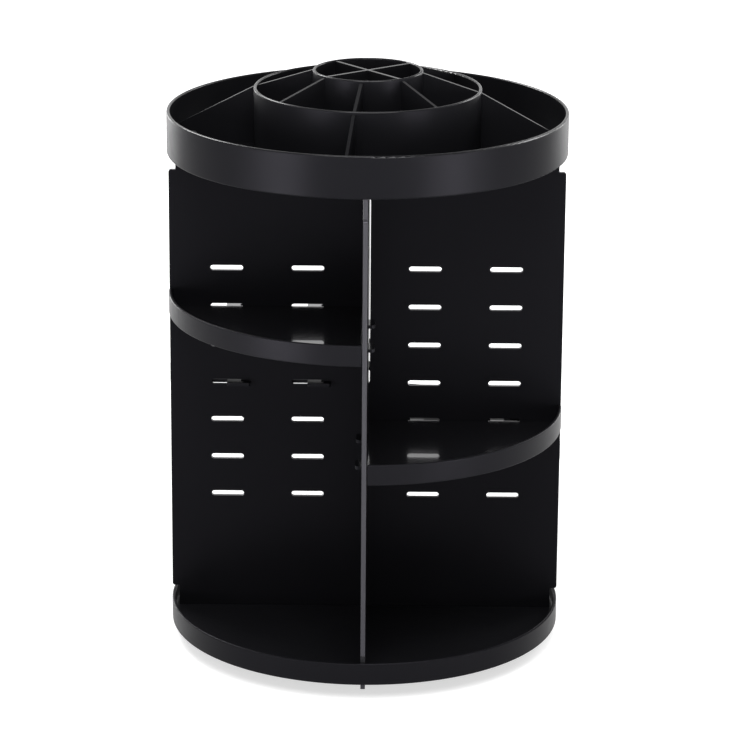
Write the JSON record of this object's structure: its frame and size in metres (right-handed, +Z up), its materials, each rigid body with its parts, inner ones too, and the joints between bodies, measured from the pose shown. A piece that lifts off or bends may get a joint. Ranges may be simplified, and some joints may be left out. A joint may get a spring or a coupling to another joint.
{
  "type": "rotating cosmetics carousel",
  "caption": "Round rotating cosmetics carousel: base tray on a ball-bearing foot, two slotted uprights halved into a cross, hook-in quarter-round shelves and a stepped cup tray on top.",
  "frame": {"origin": "on the table, on the axis that the carousel turns about", "axes": "+Z up along the turning axis, -Y towards the front, +X to the viewer's right"},
  "size_m": [0.2304, 0.2304, 0.3407],
  "materials": {
    "black_tray_plastic": "satin black injection-moulded ABS",
    "black_panel_plastic": "smooth black injection-moulded polystyrene",
    "black_shelf_plastic": "glossy floor, satin rim, black injection-moulded ABS",
    "black_foot_plastic": "matt black moulded polypropylene",
    "foot_rubber": "matt dark grey rubber",
    "natural_nylon": "natural moulded nylon",
    "bearing_steel": "polished steel balls",
    "zinc_plated_steel": "bright zinc-plated steel"
  },
  "bodies": {
    "foot": {"foot_plate": "black_foot_plastic", "front_left_foot_pad": "foot_rubber", "front_right_foot_pad": "foot_rubber", "rear_left_foot_pad": "foot_rubber", "rear_right_foot_pad": "foot_rubber", "pivot_bolt": "zinc_plated_steel", "pivot_washer": "zinc_plated_steel", "pivot_nut": "zinc_plated_steel"},
    "ball_cage": {"bearing_cage": "natural_nylon", "bearing_balls": "bearing_steel"},
    "carousel": {"base_tray": "black_tray_plastic", "turntable_plate": "black_foot_plastic", "plate_screws": "zinc_plated_steel", "wide_panel": "black_panel_plastic", "divider_panel": "black_panel_plastic"},
    "top_tray": {"top_tray": "black_tray_plastic"},
    "front_left_shelf": {"front_left_shelf": "black_shelf_plastic"},
    "rear_left_shelf": {"rear_left_shelf": "black_shelf_plastic"},
    "front_right_shelf": {"front_right_shelf": "black_shelf_plastic"},
    "rear_right_shelf": {"rear_right_shelf": "black_shelf_plastic"}
  },
  "joints": [
    {"name": "carousel_spin", "type": "hinge", "parent": "foot", "child": "carousel", "pos_m": [0, 0, 0.006], "axis": [0, 0, 1], "continuous": true},
    {"name": "ball_cage_spin", "type": "hinge", "parent": "foot", "child": "ball_cage", "pos_m": [0, 0, 0.006], "axis": [0, 0, 1], "continuous": true},
    {"name": "top_tray_lift", "type": "slide", "parent": "carousel", "child": "top_tray", "axis": [0, 0, 1], "range_m": [0, 0.04]},
    {"name": "front_left_shelf_unhook", "type": "slide", "parent": "carousel", "child": "front_left_shelf", "axis": [-1, 0, 0], "range_m": [0, 0.0075]},
    {"name": "rear_left_shelf_unhook", "type": "slide", "parent": "carousel", "child": "rear_left_shelf", "axis": [-1, 0, 0], "range_m": [0, 0.0075]},
    {"name": "front_right_shelf_unhook", "type": "slide", "parent": "carousel", "child": "front_right_shelf", "axis": [1, 0, 0], "range_m": [0, 0.0075]},
    {"name": "rear_right_shelf_unhook", "type": "slide", "parent": "carousel", "child": "rear_right_shelf", "axis": [1, 0, 0], "range_m": [0, 0.0075]}
  ],
  "couplings": [
    {"joint": "ball_cage_spin", "follows": "carousel_spin", "ratio": 0.5}
  ]
}
